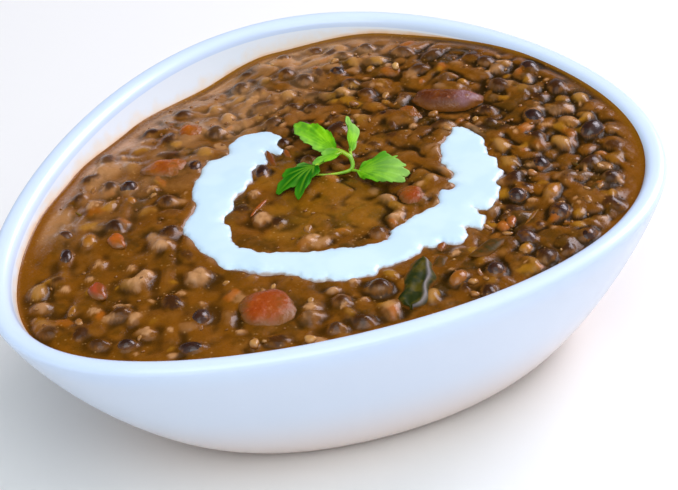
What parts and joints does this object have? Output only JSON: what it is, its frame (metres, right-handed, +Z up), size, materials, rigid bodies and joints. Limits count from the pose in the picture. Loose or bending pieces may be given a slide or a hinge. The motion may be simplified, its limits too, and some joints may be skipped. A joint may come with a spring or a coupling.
{
  "type": "bowl of dal makhani",
  "caption": "Thick brown lentil and bean stew in an egg-shaped white glazed bowl, topped with a U of poured cream and a fresh coriander sprig.",
  "frame": {"origin": "on the table, at the middle of the bowl's length and width", "axes": "+X along the egg's length towards its blunt end, +Y across it, +Z up"},
  "size_m": [0.2, 0.1678, 0.0662],
  "materials": {
    "white_glaze": "smooth bright white glaze",
    "dal_gravy": "thick glossy brown gravy, stands in for food",
    "cream": "smooth poured cream, stands in for food",
    "coriander_green": "fresh leaf, stands in for plant",
    "kidney_bean_skin": "cooked bean skin, stands in for food",
    "tomato_red": "soft cooked tomato, stands in for food",
    "tomato_orange": "soft cooked tomato in gravy, stands in for food",
    "wilted_green": "wilted leaf in gravy, stands in for food"
  },
  "bodies": {
    "root": {"bowl": "white_glaze", "dal": "dal_gravy", "cream": "cream", "coriander_sprig": "coriander_green", "kidney_bean": "kidney_bean_skin", "tomato_chunk_front": "tomato_red", "tomato_chunk_left": "tomato_orange", "tomato_chunk_back": "tomato_orange", "tomato_chunk_middle": "tomato_red", "tomato_chunk_right": "tomato_orange", "wilted_leaf": "wilted_green"}
  },
  "joints": []
}
